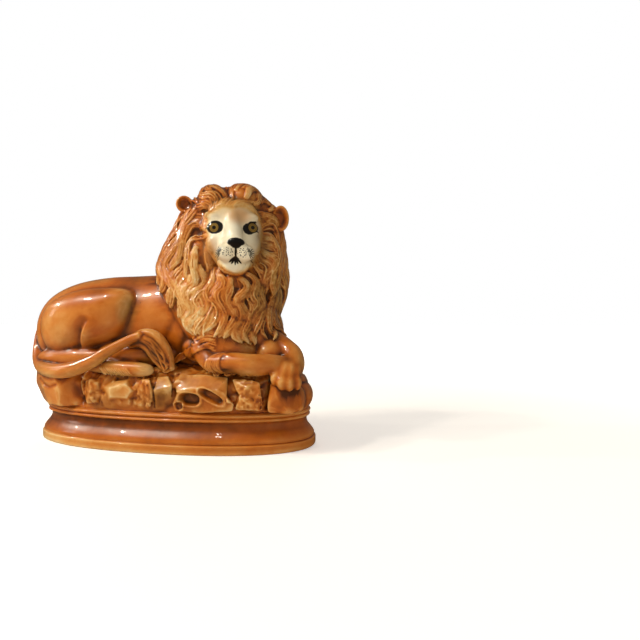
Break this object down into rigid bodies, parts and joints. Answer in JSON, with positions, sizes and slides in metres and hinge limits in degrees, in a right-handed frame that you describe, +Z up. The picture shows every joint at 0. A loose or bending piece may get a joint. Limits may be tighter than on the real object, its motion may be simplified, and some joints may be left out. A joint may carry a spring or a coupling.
{
  "type": "staffordshire lion figure",
  "caption": "Recumbent pottery lion with a full mane and its head turned to its side, lying on rocks over a moulded oval plinth, a shelf ornament.",
  "frame": {"origin": "middle of the plinth's flat underside", "axes": "+X along the body from rump to chest, +Y away from the side the face looks to, +Z up"},
  "size_m": [0.3053, 0.124, 0.2573],
  "materials": {
    "glazed_earthenware": "glossy lead glaze over brown-washed cream earthenware"
  },
  "bodies": {
    "root": {"lion": "glazed_earthenware"}
  },
  "joints": []
}
